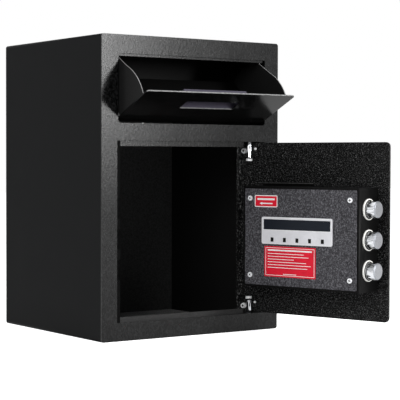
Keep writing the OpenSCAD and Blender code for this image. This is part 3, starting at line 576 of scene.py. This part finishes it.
def add_small_label():
    """White edge, one plain bar and an arrow towards the hinge."""
    low, high = label_boxes[1]
    face = high.y
    bm = bmesh.new()
    ring(bm, inset(low, high, 0, 2.0), inset(low, high, 1.3, 1.2), face - PRINT_IN, face + PRINT_OUT)
    print_on(bm, rounded(low.x + 5.0, high.z - 7.4, high.x - 5.0, high.z - 4.6, 0.4), face)
    middle = low.z + 5.6
    print_on(bm, rounded(low.x + 9.0, middle - 0.9, high.x - 13.5, middle + 0.9, 0.3), face)
    tip, length, half = high.x - 9.0, 5.0, 2.2
    print_on(bm, [(tip - length, middle - half), (tip, middle), (tip - length, middle + half)], face)
    add_piece("small_label_print", bm, WHITE_INK, "door")


def add_large_label():
    """Thin frame, a bold bar, six thinner ones of several lengths and a short one below."""
    low, high = label_boxes[0]
    face = high.y
    bm = bmesh.new()
    ring(bm, inset(low, high, 2.0, 0.8), inset(low, high, 2.7, 0.5), face - PRINT_IN, face + PRINT_OUT)
    start = high.x - 6.0
    for height, drop, length in ((2.2, 4.8, 80), (0.9, 10.6, 66), (0.9, 14.8, 74), (0.9, 19.0, 48),
                                 (0.9, 23.2, 70), (0.9, 27.4, 78), (0.9, 31.6, 72)):
        top = high.z - drop
        print_on(bm, rounded(start - length, top - height, start, top, 0.3), face)
    middle = (low.x + high.x) / 2
    print_on(bm, rounded(middle - 12.0, low.z + 4.0, middle + 12.0, low.z + 4.9, 0.3), face)
    add_piece("large_label_print", bm, WHITE_INK, "door")


def islands(node):
    """Corners of each of a node's separate solids with the door shut, lowest first."""
    points = shut_points(node)
    parent = list(range(len(points)))

    def root(i):
        while parent[i] != i:
            parent[i] = parent[parent[i]]
            i = parent[i]
        return i

    same = {}
    for i, p in enumerate(points):
        key = tuple(round(c, 3) for c in p)
        if key in same:
            parent[root(i)] = root(same[key])
        same[key] = i
    for edge in NODES[node].data.edges:
        a, b = edge.vertices
        parent[root(a)] = root(b)
    groups = {}
    for i, p in enumerate(points):
        groups.setdefault(root(i), []).append(p)
    return sorted((corners(group) for group in groups.values()), key=lambda box: box[0].z)


label_boxes = islands("lock_labels")
add_small_label()
add_large_label()


# Battery cover: window, bright rim and painted shade in the slots

SLOT_PITCH = 22.6
RIM_IN, RIM_OUT = 0.1, 0.15


def dress_battery_cover():
    """Bright rim and bar, a slate window above the bar and painted shade in each of five slots."""
    low, high = shut_box("battery_cover")
    x0, x1, z0, z1, face = low.x, high.x, low.z, high.z, high.y
    bm = bmesh.new()
    ring(bm, inset(low, high, 0.3, 2.8), inset(low, high, 1.7, 1.8), face - RIM_IN, face + RIM_OUT)
    bar = rounded(x0 + 1.7, z1 - 20.6, x1 - 1.7, z1 - 19.2, 0.4)
    prism(bm, bar, face - RIM_IN, face + RIM_OUT)
    add_piece("battery_cover_rim", bm, SILVER_RIM, "battery_lid")
    bm = bmesh.new()
    window = rounded(x0 + 3.7, z1 - 18.9, x1 - 3.7, z1 - 3.7, 0.5)
    prism(bm, window, face - 0.9, face - 0.45)
    add_piece("battery_window", bm, SLATE, "battery_lid")
    bm = bmesh.new()
    for i in range(-2, 3):
        x = (x0 + x1) / 2 + i * SLOT_PITCH
        shade = rounded(x - 3.8, z0 + 3.6, x + 1.5, z0 + 10.1, 0.5)
        prism(bm, shade, face - 0.3, face + 0.06)
    add_piece("battery_slot_shades", bm, SLOT_PAINTED_SHADE, "battery_lid")


dress_battery_cover()


# Outside of the door: print on the keys, pad frame, index lines

SIGN_SIZE, SIGN_HALF_DEPTH = 8.5, 0.06
KEY_RISE = 2.5
PAD_MARGIN = 3.5


def add_key_print():
    """Generic digits and signs on the twelve keys."""
    for number, sign in enumerate("123456789*0#", 1):
        low, high = shut_box("key_%d" % number)
        curve = bpy.data.curves.new("sign", "FONT")
        curve.body = sign
        curve.align_x, curve.align_y = "CENTER", "CENTER"
        curve.size = SIGN_SIZE
        curve.extrude = SIGN_HALF_DEPTH
        lettering = bpy.data.objects.new("sign", curve)
        mesh = bpy.data.meshes.new_from_object(lettering)
        bpy.data.objects.remove(lettering)
        upright = Matrix.Rotation(math.radians(90), 4, "X")
        centre = Vector(((low.x + high.x) / 2, low.y - 0.04, (low.z + high.z) / 2))
        mesh.transform(PLACED @ Matrix.Translation(centre) @ upright)
        obj = add_object("key_%d_print" % number, mesh, WHITE_INK)
        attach(obj, "pad_key_%d" % number)


def dress_panel():
    """Frame round the pad and the panel, dots and a ring round the knob, and a line on its grip."""
    low, high = shut_box("control_panel")
    first_low, first_high = shut_box("key_1")
    last_low, last_high = shut_box("key_12")
    face = first_low.y + KEY_RISE
    x0, x1 = first_low.x - PAD_MARGIN, last_high.x + PAD_MARGIN
    z0, z1 = last_low.z - PAD_MARGIN, first_high.z + PAD_MARGIN
    bm = bmesh.new()
    ring(bm, rounded(x0, z0, x1, z1, 3.0), rounded(x0 + 1.2, z0 + 1.2, x1 - 1.2, z1 - 1.2, 2.0),
         face - 0.6, face + 0.2)
    ring(bm, inset(low, high, 2.5, 4.5), inset(low, high, 3.5, 3.8), face - 0.4, face + 0.2)
    add_piece("pad_frame", bm, SILVER_RIM, "door", 0.15)
    knob_low, knob_high = shut_box("knob")
    kx, kz = (knob_low.x + knob_high.x) / 2, (knob_low.z + knob_high.z) / 2
    radius = (knob_high.x - knob_low.x) / 2
    dots_at = radius + 4.5
    bm = bmesh.new()
    for angle in (35, 62, 90, 118, 145):
        a = math.radians(angle)
        dot = disc(kx + dots_at * math.cos(a), kz + dots_at * math.sin(a), 0.9, 16)
        prism(bm, dot, face - 0.15, face + 0.15)
    add_piece("knob_index_dots", bm, WHITE_INK, "door")
    bm = bmesh.new()
    line = rounded(kx - 0.9, kz + 4.0, kx + 0.9, kz + radius - 5.0, 0.6)
    prism(bm, line, knob_low.y - 0.12, knob_low.y + 0.3)
    add_piece("knob_index_line", bm, WHITE_INK, "knob_set")
    bm = bmesh.new()
    ring(bm, disc(kx, kz, radius + 1.8, 48), disc(kx, kz, radius + 0.6, 48), face - 1.4, face + 0.2)
    add_piece("knob_collar_ring", bm, FINISH["chrome"], "door", 0.3)


add_key_print()
dress_panel()


# Small hardware

def add_spring():
    """Plunger's return spring as a wound wire."""
    low, high = shut_box("plunger_spring")
    cx, cy = (low.x + high.x) / 2, (low.y + high.y) / 2
    wire = 0.45
    radius = (high.x - low.x) / 2 - wire
    turns, steps = 4.5, 20
    count = int(turns * steps)
    points = []
    for i in range(count + 1):
        a = 2 * math.pi * i / steps
        z = low.z + wire + (high.z - low.z - 2 * wire) * i / count
        points.append(Vector((cx + radius * math.cos(a), cy + radius * math.sin(a), z)))
    bm = bmesh.new()
    tube(bm, points, wire)
    spring = add_piece("plunger_spring_wire", bm, FINISH["zinc_steel"], "lock_plunger")
    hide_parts("plunger_spring")


def add_cell_ends():
    """Nickel caps and a dark band on each battery cell."""
    cap, band_end, sides = 1.2, 13.0, 28
    caps, bands = bmesh.new(), bmesh.new()
    for low, high in islands("battery_cells"):
        cy, cz = (low.y + high.y) / 2, (low.z + high.z) / 2
        radius = (high.z - low.z) / 2
        for x0, x1 in ((low.x - 0.2, low.x + cap), (high.x - cap, high.x + 0.2)):
            tube(caps, [Vector((x0, cy, cz)), Vector((x1, cy, cz))], radius + 0.05, sides)
        band = [Vector((low.x + cap, cy, cz)), Vector((low.x + band_end, cy, cz))]
        tube(bands, band, radius + 0.04, sides)
    add_piece("cell_caps", caps, SCREW_NICKEL, "door")
    add_piece("cell_bands", bands, FINISH["black_plastic"], "door")


def cross_outline(x, z, reach, half, turn):
    """Outline of a cross recess in X and Z."""
    points = []
    for quarter in range(4):
        a = math.radians(turn + 90 * quarter)
        along, across = (math.cos(a), math.sin(a)), (-math.sin(a), math.cos(a))
        for u, v in ((half, -half), (reach, -half), (reach, half)):
            points.append((x + u * along[0] + v * across[0], z + u * along[1] + v * across[1]))
    return points


def dome(bm, x, z, y, radius, height):
    """Pan head that stands out towards high Y."""
    steps, rows = 28, 5
    rings = []
    for row in range(rows + 1):
        a = math.pi / 2 * row / rows
        r, h = radius * (0.55 + 0.45 * math.cos(a)), y + height * math.sin(a)
        rings.append([bm.verts.new((u, h, v)) for u, v in disc(x, z, r, steps)])
    for a, b in zip(rings, rings[1:]):
        for k in range(steps):
            bm.faces.new((a[k], a[(k + 1) % steps], b[(k + 1) % steps], b[k]))
    bm.faces.new(rings[-1])
    bm.faces.new(rings[0][::-1])


def add_cover_screws():
    """Pan heads over the lock cover's four screws, each with a dark cross: painted shade in the cross recess."""
    heads, crosses = bmesh.new(), bmesh.new()
    for number, (low, high) in enumerate(islands("cover_screws")):
        x, z = (low.x + high.x) / 2, (low.z + high.z) / 2
        radius = (high.x - low.x) / 2
        dome(heads, x, z, high.y - 1.6, radius, 1.7)
        turn = 20 + 33 * number
        cross = cross_outline(x, z, 0.58 * radius, 0.13 * radius, turn)
        prism(crosses, cross, high.y - 0.4, high.y + 0.14)
    add_piece("cover_screw_heads", heads, SCREW_NICKEL, "door")
    add_piece("cover_screw_crosses", crosses, SLOT_PAINTED_SHADE, "door")


def add_flange_details():
    """Small screw, and a thin bead on the lock box's upper flange whose lighter grey is a painted highlight line.
    """
    low, high = shut_box("lock_case")
    bm = bmesh.new()
    head = disc(high.x - 109.5, high.z - 3.4, 2.6, 20)
    prism(bm, head, low.y, low.y + 2.0)
    add_piece("flange_screw", bm, FINISH["door_coat"], "door", 0.4)
    bm = bmesh.new()
    start, end = 160, 262
    bead = rounded(start, high.z - 2.0, end, high.z - 0.8, 0.5)
    prism(bm, bead, low.y + 1.2, low.y + 2.2)
    add_piece("flange_bead", bm, bead_painted_highlight(), "door")


def add_bushing_shades():
    """Dark ring round each bolt on the face of its bushing: painted shade in the gap round the bolt."""
    outer, inner, steps = 14.2, 12.7, 40
    bm = bmesh.new()
    for low, high in islands("bolt_bushings"):
        y, z = (low.y + high.y) / 2, (low.z + high.z) / 2
        near, far = low.x - 0.06, low.x + 0.3
        loops = []
        for r, x in ((outer, near), (outer, far), (inner, far), (inner, near)):
            loops.append([bm.verts.new((x, y + a, z + b)) for a, b in disc(0, 0, r, steps)])
        for a in range(4):
            b = (a + 1) % 4
            for i in range(steps):
                j = (i + 1) % steps
                bm.faces.new((loops[a][i], loops[a][j], loops[b][j], loops[b][i]))
    add_piece("bushing_shades", bm, SLOT_PAINTED_SHADE, "door")


def add_hinge_screw_sockets():
    """Dark discs over the sockets in the round heads of the hinge screws: painted shade inside the sockets."""
    head_width = 6
    bm = bmesh.new()
    for low, high in islands("hinge_screws"):
        if high.x - low.x > head_width:
            socket = disc(high.x - 4.4, (low.z + high.z) / 2, 1.8, 16)
            prism(bm, socket, high.y - 0.5, high.y + 0.08)
    add_piece("hinge_screw_sockets", bm, SLOT_PAINTED_SHADE, "door")


add_spring()
add_cell_ends()
add_cover_screws()
add_flange_details()
add_hinge_screw_sockets()
add_bushing_shades()


# Camera, light and floor

FOCAL_PX = 1410.9
PICTURE_PX = 400
CAMERA_AT = Vector((-1.22073, -1.90661, 0.26795))
YAW, PITCH, ROLL = math.radians(35.07), math.radians(1.6587), math.radians(0.1608)
WORLD_LIGHT = 0.35
FLOOR_HALF = 8.0
FLOOR_GLOW = 0.86


def make_camera():
    """Camera that repeats the photograph's view."""
    forward = Vector((math.sin(YAW) * math.cos(PITCH), math.cos(YAW) * math.cos(PITCH),
                      -math.sin(PITCH)))
    level = Vector((math.cos(YAW), -math.sin(YAW), 0))
    above = level.cross(forward)
    right = level * math.cos(ROLL) + above * math.sin(ROLL)
    up = above * math.cos(ROLL) - level * math.sin(ROLL)
    data = bpy.data.cameras.new("camera")
    data.sensor_width = 36
    data.lens = data.sensor_width * FOCAL_PX / PICTURE_PX
    data.clip_start, data.clip_end = 0.05, 50
    obj = bpy.data.objects.new("camera", data)
    axes = Matrix((right, up, -forward)).transposed().to_4x4()
    obj.matrix_world = Matrix.Translation(CAMERA_AT) @ axes
    bpy.context.scene.collection.objects.link(obj)
    bpy.context.scene.camera = obj


def softbox(name, at, aim, width, power, height=None):
    """Area lamp at a place, aimed at a point, of a width and height in metres and a power in watts."""
    data = bpy.data.lights.new(name, "AREA")
    data.shape = "RECTANGLE"
    data.size = width
    data.size_y = height or width
    data.energy = power
    obj = bpy.data.objects.new(name, data)
    obj.location = at
    obj.rotation_mode = "QUATERNION"
    obj.rotation_quaternion = (Vector(aim) - Vector(at)).to_track_quat("-Z", "Y")
    bpy.context.scene.collection.objects.link(obj)


def seen_directly(tree):
    """1 for camera, glossy and transmission rays, else 0."""
    path = tree.nodes.new("ShaderNodeLightPath")
    total = path.outputs["Is Camera Ray"]
    for name in ("Is Glossy Ray", "Is Transmission Ray"):
        top = tree.nodes.new("ShaderNodeMath")
        top.operation = "MAXIMUM"
        tree.links.new(total, top.inputs[0])
        tree.links.new(path.outputs[name], top.inputs[1])
        total = top.outputs["Value"]
    return total


def make_world():
    """White to the eye and in reflections, and a soft dim light on the object."""
    world = bpy.data.worlds.new("studio")
    world.use_nodes = True
    tree = world.node_tree
    tree.nodes.clear()
    seen = tree.nodes.new("ShaderNodeBackground")
    seen.inputs["Color"].default_value = (1, 1, 1, 1)
    light = tree.nodes.new("ShaderNodeBackground")
    light.inputs["Color"].default_value = (0.98, 0.99, 1.0, 1)
    light.inputs["Strength"].default_value = WORLD_LIGHT
    mix = tree.nodes.new("ShaderNodeMixShader")
    out = tree.nodes.new("ShaderNodeOutputWorld")
    tree.links.new(seen_directly(tree), mix.inputs["Fac"])
    tree.links.new(light.outputs["Background"], mix.inputs[1])
    tree.links.new(seen.outputs["Background"], mix.inputs[2])
    tree.links.new(mix.outputs["Shader"], out.inputs["Surface"])
    bpy.context.scene.world = world


def make_floor():
    """White floor that keeps a faint shadow of the object."""
    mesh = bpy.data.meshes.new("floor")
    half = FLOOR_HALF
    square = [(-half, -half, 0), (half, -half, 0), (half, half, 0), (-half, half, 0)]
    mesh.from_pydata(square, [], [(0, 1, 2, 3)])
    mat, tree, shader = new_material("floor_paper", Roughness=0.9, Specular_IOR_Level=0.0,
                                     Base_Color=(0.8, 0.8, 0.8, 1))
    glow = tree.nodes.new("ShaderNodeEmission")
    tree.links.new(remap(tree, seen_directly(tree), 0, 1, 0, FLOOR_GLOW), glow.inputs["Strength"])
    both = tree.nodes.new("ShaderNodeAddShader")
    tree.links.new(shader.outputs["BSDF"], both.inputs[0])
    tree.links.new(glow.outputs["Emission"], both.inputs[1])
    tree.links.new(both.outputs["Shader"], tree.nodes["Material Output"].inputs["Surface"])
    floor = add_object("floor", mesh, mat)


make_camera()
make_world()
make_floor()
softbox("key_light", at=(0.92, -2.2, 0.90), aim=(0, 0, 0.3), width=0.3, power=54, height=1.2)
softbox("top_light", at=(0.0, -0.4, 2.4), aim=(0, 0, 0.2), width=1.6, power=16)
softbox("left_light", at=(-1.9, 0.70, 0.85), aim=(0.1, -0.2, 0.25), width=0.4, power=11)
softbox("fill_light", at=(-2.0, -1.7, 1.2), aim=(0.1, -0.2, 0.25), width=1.2, power=30)

bpy.context.scene.view_settings.view_transform = "Standard"
